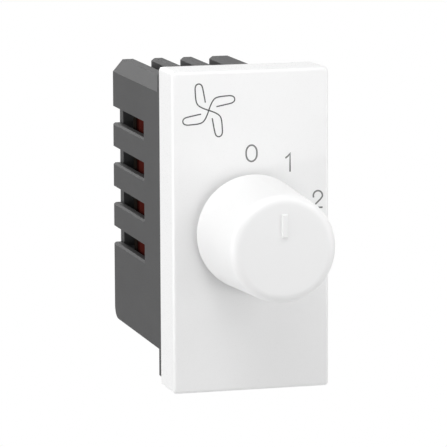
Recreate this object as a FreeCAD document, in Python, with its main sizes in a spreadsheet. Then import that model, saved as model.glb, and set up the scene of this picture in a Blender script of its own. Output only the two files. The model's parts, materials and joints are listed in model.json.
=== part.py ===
import FreeCAD, Part
import math
import os
import re

import Sketcher
from FreeCAD import Placement, Rotation, Vector

# A fan speed control switch: one wall module, with a rotary selector for off and four speeds.
# X is to the right as seen from the front, Y goes into the wall and Z is up, in millimetres.
# The origin is the centre of the plane where the flange seats against the wall frame.
# The knob turns about the Y axis. Seen from the front, it turns clockwise from 0 to 4.

# How near to a plane or an axis an edge has to lie to be taken as on it
CLOSE = 1e-4

SIZES = {
    # How far a joined piece reaches into its carrier, and a cut past the face that it opens
    "join_overlap": 0.2,
    "cut_overrun": 0.01,
    # Front cover, on the usual grid of 22.5 by 45 for one module
    "module_width": 22.5,
    "module_height": 45.0,
    "cover_depth": 6.9,
    "cover_face": 1.8,
    "cover_wall": 1.6,
    "cover_edge_round": 0.5,
    "cover_corner_round": 0.55,
    "cover_hole_radius": 5.8,
    "collar_wall": 1.4,
    "collar_gap": 0.4,
    # Snap fingers of the cover, which hook behind the carrier plate
    "finger_width": 8.0,
    "finger_thickness": 1.2,
    "finger_inset": 1.75,
    "finger_barb": 0.5,
    "finger_hook_length": 1.2,
    "finger_clearance": 0.15,
    # Flange that seats on the wall frame, with its two clip lugs
    "flange_thickness": 1.3,
    "flange_side_inset": 0.05,
    "flange_end_inset": 1.2,
    "lug_width": 2.7,
    "lug_height": 1.05,
    "lug_side_inset": 0.3,
    # Rear housing
    "housing_side_inset": 0.15,
    "housing_top_inset": 1.95,
    "housing_depth": 27.1,
    "side_wall": 1.1,
    "top_wall": 1.3,
    "floor_wall": 1.3,
    "rear_wall": 2.0,
    "shoulder_across": 1.5,
    "shoulder_down": 1.75,
    "ledge_width": 3.35,
    "foot_round": 2.0,
    "rear_edge_round": 0.45,
    # Slots in both side walls, bevelled below, which run back round the rear corners
    "slot_height": 2.45,
    "slot_pitch": 5.9,
    "slot_count": 4,
    "slot_top_inset": 8.05,
    "slot_front": 8.3,
    "slot_bevel": 0.28,
    "slot_end_bevel": 0.4,
    # Vents along the top, which run out through the rear wall
    "vent_width": 2.4,
    "vent_pitch": 4.4,
    "vent_count": 3,
    "vent_middle": -2.0,
    "vent_front": 3.2,
    "vent_bevel": 0.45,
    # Ribs and posts inside the housing
    "shelf_thickness": 1.0,
    "shelf_gap": 0.1,
    "chamber_height": 7.65,
    "divider_half": 1.5,
    "divider_front": 4.0,
    "rail_thickness": 1.0,
    "post_width": 1.2,
    "post_height": 1.25,
    "seat_gap": 0.4,
    "seat_height": 2.4,
    "lower_seat_height": 1.1,
    "guide_wall": 0.9,
    "guide_gap": 0.4,
    # Carrier plate that closes the housing and holds the switch
    "carrier_setback": 0.2,
    "carrier_thickness": 1.4,
    "carrier_clearance": 0.1,
    "carrier_lug_height": 4.0,
    "carrier_lug_reach": 0.45,
    "carrier_lug_low": 3.0,
    "carrier_lug_setback": 0.3,
    "carrier_lug_depth": 1.0,
    # Knob
    "knob_gap": 1.2,
    "knob_base_radius": 8.1,
    "knob_face_radius": 7.39,
    "knob_length": 15.4,
    "knob_edge_round": 1.3,
    "knob_wall": 1.5,
    "knob_face": 1.8,
    "knob_hub_radius": 4.4,
    "knob_hub_setback": 0.6,
    "knob_bore_end": 1.0,
    "knob_rib_thickness": 1.0,
    "knob_rib_depth": 9.0,
    "pointer_width": 0.8,
    "pointer_inner": 1.65,
    "pointer_outer": 4.8,
    "pointer_height": 0.3,
    "pointer_round": 0.15,
    # Spindle with a flat, and the clip that takes up its play in the knob
    "spindle_radius": 3.0,
    "spindle_flat": 1.5,
    "spindle_end_gap": 0.4,
    "spindle_fit": 0.04,
    "drive_fit": 0.03,
    "grip_fit": 0.05,
    "bearing_gap": 0.6,
    "clip_thickness": 0.4,
    "clip_width": 3.2,
    "clip_length": 8.0,
    "clip_setback": 0.6,
    "pivot_radius": 1.2,
    "pivot_fit": 0.05,
    # Rotary switch: case, bush and nut
    "case_radius": 7.8,
    "case_wall": 0.85,
    "case_face": 1.2,
    "bush_radius": 4.5,
    "bush_fit": 0.05,
    "bush_reach": 3.2,
    "bush_flange_gap": 0.9,
    "bush_flange_thickness": 0.6,
    "bush_hole_clearance": 0.2,
    "nut_across_flats": 12.0,
    "nut_thickness": 2.0,
    # Detents and stops
    "step_angle": 33.0,
    "step_count": 5,
    "wheel_side_gap": 1.05,
    "wheel_thickness": 1.6,
    "wheel_gap": 0.1,
    "notch_radius": 0.9,
    "notch_depth": 0.5,
    "spring_thickness": 0.3,
    "spring_width": 1.4,
    "spring_half_length": 5.2,
    "bump_radius": 0.45,
    "bump_clearance": 0.06,
    "rotor_side_gap": 1.35,
    "rotor_thickness": 1.2,
    "stop_half_angle": 6.0,
    "stop_clearance_angle": 1.0,
    "stop_rest_angle": 90.0,
    "stop_depth": 1.0,
    "stop_clearance": 0.2,
    # Contacts
    "wafer_thickness": 1.2,
    "contact_room": 1.6,
    "contact_inset": 1.75,
    "contact_spacing": 0.75,
    "contact_head_height": 0.3,
    "contact_shank_radius": 0.75,
    "contact_tail": 0.5,
    "contact_gap": 0.05,
    "wiper_width": 2.0,
    "wiper_thickness": 0.3,
    "wiper_inner": 3.3,
    "wiper_tip_radius": 0.7,
    # Circuit board and the two film capacitors in front of it
    "board_rear_room": 5.1,
    "board_thickness": 1.6,
    "board_clearance": 0.3,
    "capacitor_front_gap": 2.0,
    "capacitor_side_gap": 0.4,
    "capacitor_gap": 0.4,
    "capacitor_split": 3.7,
    "capacitor_round": 0.8,
    "lead_radius": 0.4,
    "lead_inset": 2.1,
    "lead_tail": 1.2,
    "lead_hole_clearance": 0.1,
    # Bleed resistors behind the board, one across each capacitor
    "resistor_radius": 1.2,
    "resistor_length": 6.0,
    "resistor_standoff": 0.3,
    "resistor_spread": 9.2,
    "resistor_lead_radius": 0.3,
    # Jumper wires from the contacts to the board
    "jumper_radius": 0.35,
    "jumper_pitch": 3.0,
    "jumper_count": 4,
    "jumper_foot": 5.6,
    "jumper_drop": 2.15,
    "jumper_clearance": 1.15,
    "jumper_offset": 1.0,
    # Terminals: cage, clamp plate, screw and bar
    "cage_side_gap": 0.5,
    "cage_length": 7.2,
    "cage_top": 0.8,
    "cage_floor": 0.9,
    "cage_side": 0.8,
    "cage_gap": 0.05,
    "bar_thickness": 0.7,
    "bar_width": 3.4,
    "bar_reach": 5.1,
    "bar_clearance": 0.15,
    "bar_end_gap": 0.4,
    "plate_thickness": 0.7,
    "plate_gap": 0.1,
    "plate_lift": 0.05,
    "clamp_travel": 1.4,
    "screw_radius": 1.5,
    "screw_fit": 0.05,
    "screw_head_radius": 1.9,
    "screw_head_height": 1.2,
    "screw_head_margin": 0.05,
    "screw_end_gap": 0.1,
    "screw_slot_width": 0.7,
    "screw_slot_depth": 0.6,
    "access_clearance": 0.3,
    "wire_radius": 1.5,
}

# Places that follow from the sizes
PLACES = {
    "cover_front": "-(flange_thickness + cover_depth)",
    "cover_inside": "cover_front + cover_face",
    "cover_half_width": "module_width / 2",
    "cover_half_height": "module_height / 2",
    "flange_half_width": "module_width / 2 - flange_side_inset",
    "flange_half_height": "module_height / 2 - flange_end_inset",
    "housing_half": "module_width / 2 - housing_side_inset",
    "housing_top": "module_height / 2 - housing_top_inset",
    "cavity_half": "housing_half - side_wall",
    "cavity_top": "housing_top - top_wall",
    "cavity_back": "housing_depth - rear_wall",
    "shelf_high": "-(case_radius + shelf_gap)",
    "shelf_low": "shelf_high - shelf_thickness",
    "cavity_floor": "shelf_low - chamber_height",
    "housing_foot": "cavity_floor - floor_wall",
    "upper_finger_low": "cavity_top - finger_inset - finger_thickness",
    "lower_finger_low": "cavity_floor + finger_inset",
    "carrier_back": "carrier_setback + carrier_thickness",
    "knob_back": "cover_front - knob_gap",
    "knob_front": "knob_back - knob_length",
    "knob_inside": "knob_front + knob_face",
    "nut_front": "carrier_setback - nut_thickness",
    "knob_hub_back": "knob_back - knob_hub_setback",
    "bore_front": "knob_inside + knob_bore_end",
    "spindle_front": "bore_front + spindle_end_gap",
    "bearing_front": "knob_hub_back + bearing_gap",
    "case_inner_radius": "case_radius - case_wall",
    "bush_flange_radius": "case_inner_radius - bush_flange_gap",
    "bush_back": "carrier_back + case_face + bush_flange_thickness",
    "wheel_radius": "case_inner_radius - wheel_side_gap",
    "wheel_front": "bush_back + wheel_gap",
    "rotor_radius": "case_inner_radius - rotor_side_gap",
    "rotor_front": "wheel_front + wheel_thickness + wheel_gap",
    "rotor_back": "rotor_front + rotor_thickness",
    "case_back": "rotor_back + contact_room",
    "contact_circle": "case_inner_radius - contact_inset",
    "contact_head_radius": "contact_circle * sin(step_angle / 2) - contact_spacing / 2",
    "wafer_back": "case_back + wafer_thickness",
    "turn_angle": "step_angle * (step_count - 1)",
    "lug_outer_radius": "case_inner_radius - stop_clearance",
    "stop_inner_radius": "case_inner_radius - stop_depth",
    "stop_offset_angle": "2 * stop_half_angle + stop_clearance_angle",
    "first_stop_angle": "stop_rest_angle - stop_offset_angle",
    "last_stop_angle": "stop_rest_angle + turn_angle + stop_offset_angle",
    "board_back": "cavity_back - board_rear_room",
    "board_front": "board_back - board_thickness",
    "capacitor_front": "wafer_back + capacitor_front_gap",
    "capacitor_half": "cavity_half - capacitor_side_gap",
    "upper_capacitor_low": "capacitor_split + capacitor_gap / 2",
    "upper_capacitor_high": "jumper_top - jumper_radius - jumper_clearance",
    "lower_capacitor_low": "shelf_high + capacitor_gap",
    "lead_across": "capacitor_half - lead_inset",
    "lower_capacitor_high": "capacitor_split - capacitor_gap / 2",
    "upper_capacitor_middle": "(upper_capacitor_low + upper_capacitor_high) / 2",
    "lower_capacitor_middle": "(lower_capacitor_low + lower_capacitor_high) / 2",
    "jumper_top": "cavity_top - jumper_drop",
    "terminal_middle": "(divider_half + cavity_half) / 2",
    "cage_half": "(cavity_half - divider_half) / 2 - cage_side_gap",
    "cage_high": "shelf_low - cage_gap",
    "cage_low": "screw_head_low + screw_head_height + clamp_travel + screw_end_gap",
    "cage_back": "board_back - bar_end_gap",
    "cage_front": "cage_back - cage_length",
    "cage_middle": "cage_back - cage_length / 2",
    "bar_high": "cage_high - cage_top",
    "bar_low": "bar_high - bar_thickness",
    "bar_back": "board_back + bar_thickness",
    "plate_low": "cage_low + cage_floor + plate_lift",
    "plate_high": "plate_low + plate_thickness",
    "access_radius": "screw_head_radius + access_clearance",
    "screw_head_low": "housing_foot + screw_head_margin",
    "wire_height": "(plate_high + bar_low) / 2",
    "guide_front": "bar_back + guide_gap",
}

document = FreeCAD.newDocument("FanSpeedSwitch")
sheet = document.addObject("Spreadsheet::Sheet", "Sizes")
for row, (name, number) in enumerate(SIZES.items(), start=1):
    sheet.set(f"A{row}", name)
    sheet.set(f"B{row}", str(number))
    sheet.setAlias(f"B{row}", name)
document.recompute()

sub_parts = []


def formula(rule):
    """Spell a rule out in the cells of the size sheet."""

    def spell(match):
        word = match.group()
        if word in PLACES:
            return f"({formula(PLACES[word])})"
        return f"Sizes.{word}" if word in SIZES else word

    return re.sub(r"[a-z][a-z_]*[a-z]", spell, rule)


# A cell of its own for each place lets the code read the places that it needs as numbers
for row, name in enumerate(PLACES, start=1):
    sheet.set(f"C{row}", name)
    sheet.set(f"D{row}", "=" + formula(PLACES[name]).replace("Sizes.", ""))
    sheet.setAlias(f"D{row}", f"at_{name}")
document.recompute()


def number(name):
    """The value of a size or a place."""
    return float(sheet.get(name if name in SIZES else f"at_{name}"))


def bind(item, prop, rule):
    """Tie one property of an object to the size sheet."""
    item.setExpression(prop, formula(rule))


def new_body(label):
    """A sub-part that is built up from sketches and features."""
    body = document.addObject("PartDesign::Body", label)
    body.Label = label
    sub_parts.append(body)
    return body


def sketch_on(body, plane, name, offset):
    """A sketch on one of the body's own planes, moved along that plane's normal."""
    sketch = body.newObject("Sketcher::SketchObject", f"{body.Label}_{name}")
    origin_plane = [item for item in body.Origin.OriginFeatures if item.Role == plane][0]
    sketch.AttachmentSupport = [(origin_plane, "")]
    sketch.MapMode = "FlatFace"
    bind(sketch, "AttachmentOffset.Base.z", offset)
    return sketch


def upright_sketch(body, name, depth):
    """A sketch parallel to the wall, at the given Y. Its axes are X and Z."""
    return sketch_on(body, "XZ_Plane", name, f"-({depth})")


def side_sketch(body, name, across):
    """A sketch square to X, at the given X. Its axes are Y and Z."""
    return sketch_on(body, "YZ_Plane", name, across)


def level_sketch(body, name, height):
    """A sketch parallel to the floor, at the given Z. Its axes are X and Y."""
    return sketch_on(body, "XY_Plane", name, height)


def fix_point(sketch, geometry, end, across, along):
    """Hold one point of a sketch at given distances from the sketch's origin."""
    for kind, rule in (("DistanceX", across), ("DistanceY", along)):
        index = sketch.addConstraint(Sketcher.Constraint(kind, -1, 1, geometry, end, 1.0))
        bind(sketch, f"Constraints[{index}]", rule)


def fix_radius(sketch, geometry, radius):
    """Give an arc or a circle of a sketch its radius."""
    index = sketch.addConstraint(Sketcher.Constraint("Radius", geometry, 1.0))
    bind(sketch, f"Constraints[{index}]", radius)


def draw_outline(sketch, corners):
    """A closed outline of straight lines through the corners."""
    first = sketch.GeometryCount
    count = len(corners)
    turns = [2 * math.pi * step / count for step in range(count + 1)]
    spots = [Vector(math.cos(turn), math.sin(turn), 0) for turn in turns]
    for step in range(count):
        sketch.addGeometry(Part.LineSegment(spots[step], spots[step + 1]))
    for step in range(count):
        after = first + (step + 1) % count
        sketch.addConstraint(Sketcher.Constraint("Coincident", first + step, 2, after, 1))
        fix_point(sketch, first + step, 1, *corners[step])


def draw_box(sketch, left, right, low, high):
    """A rectangle between two places across and two along."""
    draw_outline(sketch, [(left, low), (right, low), (right, high), (left, high)])


def draw_circle(sketch, across, along, radius):
    """A circle about a given centre."""
    index = sketch.addGeometry(Part.Circle(Vector(0, 0, 0), Vector(0, 0, 1), 1.0))
    fix_point(sketch, index, 3, across, along)
    fix_radius(sketch, index, radius)


def draw_flatted_circle(sketch, radius, flat):
    """A circle about the origin with its top cut off flat."""
    # Drawn with the flat halfway out, before the constraints set its true size
    drawn_flat = math.sin(math.radians(30))
    drawn_half = math.cos(math.radians(30))
    whole = Part.Circle(Vector(0, 0, 0), Vector(0, 0, 1), 1.0)
    arc = sketch.addGeometry(Part.ArcOfCircle(whole, math.radians(150), math.radians(390)))
    left = Vector(-drawn_half, drawn_flat, 0)
    right = Vector(drawn_half, drawn_flat, 0)
    chord = sketch.addGeometry(Part.LineSegment(right, left))
    sketch.addConstraint(Sketcher.Constraint("Coincident", arc, 3, -1, 1))
    sketch.addConstraint(Sketcher.Constraint("Coincident", chord, 1, arc, 2))
    sketch.addConstraint(Sketcher.Constraint("Coincident", chord, 2, arc, 1))
    sketch.addConstraint(Sketcher.Constraint("Horizontal", chord))
    fix_radius(sketch, arc, radius)
    index = sketch.addConstraint(Sketcher.Constraint("DistanceY", -1, 1, chord, 1, drawn_flat))
    bind(sketch, f"Constraints[{index}]", flat)


def on_circle(radius, angle):
    """A point at a radius from the knob's axis, its angle clockwise from the top."""
    return (f"({radius}) * sin({angle})", f"({radius}) * cos({angle})")


def draw_sector(sketch, inner, outer, middle, half):
    """A block between two radii, about a middle angle."""
    start = f"({middle}) - ({half})"
    end = f"({middle}) + ({half})"
    corners = [on_circle(inner, start), on_circle(outer, start)]
    corners += [on_circle(outer, end), on_circle(inner, end)]
    draw_outline(sketch, corners)


def pad(body, sketch, length, reverse=True):
    """Add material. From an upright sketch it goes into the wall unless reverse is False."""
    feature = body.newObject("PartDesign::Pad", f"{sketch.Name}_pad")
    feature.Profile = sketch
    feature.Reversed = reverse
    bind(feature, "Length", length)
    document.recompute()
    return feature


def pocket(body, sketch, length, reverse=False):
    """Cut material. From an upright sketch it goes into the wall unless reverse is True."""
    before = body.Shape.Volume
    feature = body.newObject("PartDesign::Pocket", f"{sketch.Name}_pocket")
    feature.Profile = sketch
    feature.Reversed = reverse
    bind(feature, "Length", length)
    document.recompute()
    if body.Shape.Volume >= before:
        raise RuntimeError(f"{feature.Name} cuts nothing")
    return feature


def row_of(body, feature, sketch, axis, spacing, count, backward=False):
    """Repeat a feature in a straight row along an axis of its sketch."""
    pattern = body.newObject("PartDesign::LinearPattern", f"{feature.Name}_row")
    pattern.Originals = [feature]
    pattern.Direction = (sketch, [axis])
    pattern.Reversed = backward
    bind(pattern, "Length", f"({spacing}) * ({count} - 1)")
    bind(pattern, "Occurrences", count)
    body.Tip = pattern
    document.recompute()


def steps_of(body, features, sketch, clockwise):
    """Repeat features at each step of the switch, about the knob's axis."""
    pattern = body.newObject("PartDesign::PolarPattern", f"{features[0].Name}_steps")
    pattern.Originals = features
    pattern.Axis = (sketch, ["N_Axis"])
    pattern.Reversed = clockwise
    bind(pattern, "Angle", "turn_angle")
    bind(pattern, "Occurrences", "step_count")
    body.Tip = pattern
    document.recompute()


def round_edges(body, name, radius, chosen):
    """Round the edges of the body's last shape that the test picks."""
    base = body.Tip
    edges = [f"Edge{i}" for i, edge in enumerate(base.Shape.Edges, start=1) if chosen(edge)]
    fillet = body.newObject("PartDesign::Fillet", f"{body.Label}_{name}")
    fillet.Base = (base, edges)
    bind(fillet, "Radius", radius)
    document.recompute()


def lies_at(edge, axis, place):
    """Whether an edge lies wholly in the plane at this place on an axis."""
    box = edge.BoundBox
    low = (box.XMin, box.YMin, box.ZMin)[axis]
    high = (box.XMax, box.YMax, box.ZMax)[axis]
    return abs(low - place) < CLOSE and abs(high - place) < CLOSE


def runs_along(edge, axis):
    """Whether an edge is a straight line along an axis."""
    if edge.Curve.TypeId != "Part::GeomLine":
        return False
    return abs(abs(edge.tangentAt(edge.FirstParameter)[axis]) - 1) < CLOSE


def turned(label, profile):
    """A body of revolution about the knob's axis, from corners of Y and radius."""
    body = new_body(label)
    sketch = side_sketch(body, "section", "0")
    draw_outline(sketch, profile)
    feature = body.newObject("PartDesign::Revolution", f"{label}_turn")
    feature.Profile = sketch
    feature.ReferenceAxis = (sketch, ["H_Axis"])
    feature.Angle = 360
    document.recompute()
    return body


def bent_wire(corners, radius):
    """A stiff round wire through the corners, bent sharply at each."""
    path = Part.makePolygon(corners)
    circle = Part.Circle(corners[0], corners[1] - corners[0], radius)
    profile = Part.Wire([circle.toShape()])
    square_corners = 1
    return path.makePipeShell([profile], True, False, square_corners)


def cylinder_between(start, end, radius):
    """A round rod from one point to another."""
    return Part.makeCylinder(radius, (end - start).Length, start, end - start)


def loose_shape(label, shape):
    """A sub-part whose form is worked out here."""
    item = document.addObject("Part::Feature", label)
    item.Label = label
    item.Shape = shape
    item.Placement = Placement(Vector(0, 0, 0), Rotation())
    sub_parts.append(item)


def make_front_cover():
    """Hollow front cover with a hole for the bush, a collar and two snap fingers."""
    body = new_body("front_cover")
    outline = upright_sketch(body, "outline", "cover_front")
    draw_box(outline, "-cover_half_width", "cover_half_width",
             "-cover_half_height", "cover_half_height")
    pad(body, outline, "cover_depth")
    round_edges(body, "corners", "cover_corner_round", lambda edge: runs_along(edge, 1))
    front = number("cover_front")
    round_edges(body, "front_edge", "cover_edge_round", lambda edge: lies_at(edge, 1, front))
    hollow = upright_sketch(body, "hollow", "cover_inside")
    draw_box(hollow, "-(cover_half_width - cover_wall)", "cover_half_width - cover_wall",
             "-(cover_half_height - cover_wall)", "cover_half_height - cover_wall")
    pocket(body, hollow, "cover_depth - cover_face")
    collar = upright_sketch(body, "collar", "cover_inside")
    draw_circle(collar, "0", "0", "cover_hole_radius + collar_wall")
    pad(body, collar, "nut_front - collar_gap - (cover_inside)")
    hole = upright_sketch(body, "hole", "cover_front")
    draw_circle(hole, "0", "0", "cover_hole_radius")
    pocket(body, hole, "cover_depth")
    hook = "carrier_back + finger_clearance"
    for name, low, barb_sign in (
        ("upper_finger", "upper_finger_low", "+"),
        ("lower_finger", "lower_finger_low", "-"),
    ):
        high = f"{low} + finger_thickness"
        finger = upright_sketch(body, name, "cover_inside")
        draw_box(finger, "-finger_width / 2", "finger_width / 2", low, high)
        pad(body, finger, f"{hook} + finger_hook_length - (cover_inside)")
        face = high if barb_sign == "+" else low
        barb = side_sketch(body, f"{name}_barb", "-finger_width / 2")
        draw_outline(barb, [
            (hook, face),
            (hook, f"{face} {barb_sign} finger_barb"),
            (f"{hook} + finger_hook_length", face),
        ])
        pad(body, barb, "finger_width", reverse=False)


def make_knob():
    """Hollow tapered knob with a hub, four ribs and a raised pointer."""
    body = turned("knob", [
        ("knob_back", "knob_base_radius"),
        ("knob_front", "knob_face_radius"),
        ("knob_front", "0"),
        ("knob_inside", "0"),
        ("knob_inside", "knob_face_radius - knob_wall"),
        ("knob_back", "knob_base_radius - knob_wall"),
    ])
    front = number("knob_front")
    round_edges(body, "front_edge", "knob_edge_round", lambda edge: lies_at(edge, 1, front))
    hub = upright_sketch(body, "hub", "knob_inside")
    draw_circle(hub, "0", "0", "knob_hub_radius")
    pad(body, hub, "knob_hub_back - (knob_inside)")
    reach = "(knob_face_radius - knob_wall / 2)"
    half = "knob_rib_thickness / 2"
    for name, wide, tall in (("level_ribs", reach, half), ("upright_ribs", half, reach)):
        ribs = upright_sketch(body, name, "knob_inside")
        draw_box(ribs, f"-{wide}", wide, f"-{tall}", tall)
        pad(body, ribs, "knob_rib_depth")
    bore = upright_sketch(body, "bore", "knob_hub_back")
    draw_flatted_circle(bore, "spindle_radius + grip_fit",
                        "spindle_flat + clip_thickness + grip_fit")
    pocket(body, bore, "knob_hub_back - (bore_front)", reverse=True)
    pointer = upright_sketch(body, "pointer", "knob_front")
    draw_box(pointer, "-pointer_width / 2", "pointer_width / 2",
             "pointer_inner", "pointer_outer")
    pad(body, pointer, "pointer_height", reverse=False)
    top = front - number("pointer_height")
    round_edges(body, "pointer_edges", "pointer_round", lambda edge: lies_at(edge, 1, top))


def make_knob_clip():
    """Flat steel spring between the spindle's flat and the knob's bore."""
    body = new_body("knob_clip")
    strip = upright_sketch(body, "strip", "spindle_front + clip_setback")
    draw_box(strip, "-clip_width / 2", "clip_width / 2",
             "spindle_flat + grip_fit / 2", "spindle_flat + grip_fit / 2 + clip_thickness")
    pad(body, strip, "clip_length")


def make_spindle():
    """Spindle, flatted at both ends, round in the bush, with a pivot at the back."""
    body = new_body("spindle")
    flatted = upright_sketch(body, "flatted", "spindle_front")
    draw_flatted_circle(flatted, "spindle_radius", "spindle_flat")
    pad(body, flatted, "rotor_back - (spindle_front)")
    bearing = upright_sketch(body, "bearing", "bearing_front")
    draw_circle(bearing, "0", "0", "spindle_radius")
    pad(body, bearing, "bush_back - (bearing_front)")
    pivot = upright_sketch(body, "pivot", "rotor_back")
    draw_circle(pivot, "0", "0", "pivot_radius")
    pad(body, pivot, "wafer_back - (rotor_back)")


def housing_section(half, low, top):
    """Corners of the housing's section: a shoulder on the left, and one with a ledge on the right."""
    shoulder = f"{top} - shoulder_down"
    return [
        (f"-{half}", low),
        (half, low),
        (half, shoulder),
        (f"{half} - ledge_width", shoulder),
        (f"{half} - ledge_width - shoulder_across", top),
        (f"-({half} - shoulder_across)", top),
        (f"-{half}", shoulder),
    ]


def make_rear_housing():
    """Moulded housing: flange, slotted walls, vented top, ribs, posts and wire guides."""
    body = new_body("rear_housing")
    shell = upright_sketch(body, "shell", "0")
    draw_outline(shell, housing_section("housing_half", "housing_foot", "housing_top"))
    pad(body, shell, "housing_depth")
    foot = number("housing_foot")
    back = number("housing_depth")
    round_edges(body, "foot_edge", "foot_round",
                lambda edge: lies_at(edge, 1, back) and lies_at(edge, 2, foot))
    round_edges(body, "rear_edges", "rear_edge_round",
                lambda edge: lies_at(edge, 1, back) and edge.BoundBox.ZMax > 0)
    flange = upright_sketch(body, "flange", "-flange_thickness")
    draw_box(flange, "-flange_half_width", "flange_half_width",
             "-flange_half_height", "flange_half_height")
    pad(body, flange, "flange_thickness")
    lugs = upright_sketch(body, "lugs", "-flange_thickness")
    lug_outer = "(flange_half_width - lug_side_inset)"
    draw_box(lugs, f"{lug_outer} - lug_width", lug_outer,
             "flange_half_height - join_overlap", "flange_half_height + lug_height")
    draw_box(lugs, f"-{lug_outer}", f"-{lug_outer} + lug_width",
             "flange_half_height - join_overlap", "flange_half_height + lug_height")
    pad(body, lugs, "flange_thickness")
    cavity = upright_sketch(body, "cavity", "-flange_thickness")
    draw_outline(cavity, housing_section("cavity_half", "cavity_floor", "cavity_top"))
    pocket(body, cavity, "flange_thickness + cavity_back")
    add_housing_ribs(body)
    cut_housing_slots(body)
    cut_housing_holes(body)


def add_housing_ribs(body):
    """Shelf, divider, rails, posts, board seats and wire guides inside the housing."""
    wall = "(cavity_half + side_wall / 2)"
    below = "(cavity_floor - floor_wall / 2)"
    shelf = upright_sketch(body, "shelf", "carrier_back")
    draw_box(shelf, f"-{wall}", wall, "shelf_low", "shelf_high")
    pad(body, shelf, "housing_depth - rear_wall / 2 - carrier_back")
    divider = upright_sketch(body, "divider", "divider_front")
    draw_box(divider, "-divider_half", "divider_half", below, "shelf_high")
    pad(body, divider, "housing_depth - rear_wall / 2 - divider_front")
    for name, depth in (
        ("front_rail", "cage_front"),
        ("rear_rail", "cage_back - rail_thickness"),
    ):
        rail = upright_sketch(body, name, depth)
        draw_box(rail, f"-{wall}", wall, below, "cage_low")
        pad(body, rail, "rail_thickness")
    above = "(cavity_top + top_wall / 2)"
    posts = upright_sketch(body, "posts", "carrier_back")
    post_inner = "(cavity_half - shoulder_across - post_width)"
    for side, drop in (("-", "0"), ("", "shoulder_down")):
        draw_box(posts, f"{side}{post_inner}", f"{side}({post_inner} + post_width)",
                 f"cavity_top - post_height - {drop}", f"{above} - {drop}")
    pad(body, posts, "board_front - board_clearance - carrier_back")
    seats = upright_sketch(body, "seats", "board_back")
    seat_inner = "(terminal_middle + bar_width / 2 + bar_clearance + seat_gap)"
    for side in ("", "-"):
        draw_box(seats, f"{side}{seat_inner}", f"{side}{wall}",
                 "cavity_top - shoulder_down - seat_height", "cavity_top - shoulder_down")
        draw_box(seats, f"{side}{seat_inner}", f"{side}{wall}",
                 "shelf_high - shelf_thickness / 2", "shelf_high + lower_seat_height")
    pad(body, seats, "housing_depth - rear_wall / 2 - (board_back)")
    guides = upright_sketch(body, "guides", "guide_front")
    for side in ("", "-"):
        draw_circle(guides, f"{side}terminal_middle", "wire_height", "wire_radius + guide_wall")
    pad(body, guides, "housing_depth - rear_wall / 2 - (guide_front)")


def cut_housing_slots(body):
    """Side slots round the rear corners, and vents along the top."""
    slots = upright_sketch(body, "slots", "slot_front")
    middle = "(housing_top - slot_top_inset)"
    half = "slot_height / 2"
    for side in ("", "-"):
        draw_outline(slots, [
            (f"{side}cavity_half", f"{middle} - {half}"),
            (f"{side}(housing_half - slot_bevel)", f"{middle} - {half}"),
            (f"{side}(housing_half + slot_bevel)", f"{middle} - {half} - 2 * slot_bevel"),
            (f"{side}(housing_half + slot_bevel)", f"{middle} + {half}"),
            (f"{side}cavity_half", f"{middle} + {half}"),
        ])
    cut = pocket(body, slots, "housing_depth - slot_front + cut_overrun")
    row_of(body, cut, slots, "V_Axis", "slot_pitch", "slot_count", backward=True)
    for name, side in (("left_slot_ends", "-"), ("right_slot_ends", "")):
        ends = side_sketch(body, name, f"{side}cavity_half")
        draw_outline(ends, [
            ("housing_depth - slot_end_bevel", f"{middle} - {half}"),
            ("housing_depth + slot_end_bevel", f"{middle} - {half} - 2 * slot_end_bevel"),
            ("housing_depth + slot_end_bevel", f"{middle} + {half} + 2 * slot_end_bevel"),
            ("housing_depth - slot_end_bevel", f"{middle} + {half}"),
        ])
        cut = pocket(body, ends, "side_wall + cut_overrun", reverse=not side)
        row_of(body, cut, ends, "V_Axis", "slot_pitch", "slot_count", backward=True)
    vents = upright_sketch(body, "vents", "vent_front")
    first = "(vent_middle - vent_pitch * (vent_count - 1) / 2)"
    reach = "vent_width / 2"
    draw_outline(vents, [
        (f"{first} - {reach}", "cavity_top - cut_overrun"),
        (f"{first} + {reach}", "cavity_top - cut_overrun"),
        (f"{first} + {reach}", "housing_top - vent_bevel"),
        (f"{first} + {reach} + 2 * vent_bevel", "housing_top + vent_bevel"),
        (f"{first} - {reach} - 2 * vent_bevel", "housing_top + vent_bevel"),
        (f"{first} - {reach}", "housing_top - vent_bevel"),
    ])
    cut = pocket(body, vents, "housing_depth - vent_front + cut_overrun")
    row_of(body, cut, vents, "H_Axis", "vent_pitch", "vent_count")


def cut_housing_holes(body):
    """Wire entries, screw access holes, bar slots and the carrier's snap recesses."""
    wires = upright_sketch(body, "wire_entries", "guide_front")
    for side in ("", "-"):
        draw_circle(wires, f"{side}terminal_middle", "wire_height", "wire_radius")
    pocket(body, wires, "housing_depth - (guide_front) + cut_overrun")
    access = level_sketch(body, "screw_access", "cavity_floor")
    for side in ("", "-"):
        draw_circle(access, f"{side}terminal_middle", "cage_middle", "access_radius")
    pocket(body, access, "floor_wall + cut_overrun")
    bars = level_sketch(body, "bar_slots", "shelf_high")
    for side in ("", "-"):
        draw_box(bars, f"{side}terminal_middle - bar_width / 2 - bar_clearance",
                 f"{side}terminal_middle + bar_width / 2 + bar_clearance",
                 "board_back - bar_clearance", "bar_back + bar_clearance")
    pocket(body, bars, "shelf_thickness")
    recess = upright_sketch(body, "snap_recesses", "carrier_lug_setback - carrier_clearance")
    for side in ("", "-"):
        draw_box(recess, f"{side}(cavity_half - cut_overrun)", f"{side}(cavity_half + carrier_lug_reach)",
                 "carrier_lug_low - carrier_clearance",
                 "carrier_lug_low + carrier_lug_height + carrier_clearance")
    pocket(body, recess, "carrier_lug_depth + 2 * carrier_clearance")


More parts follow.
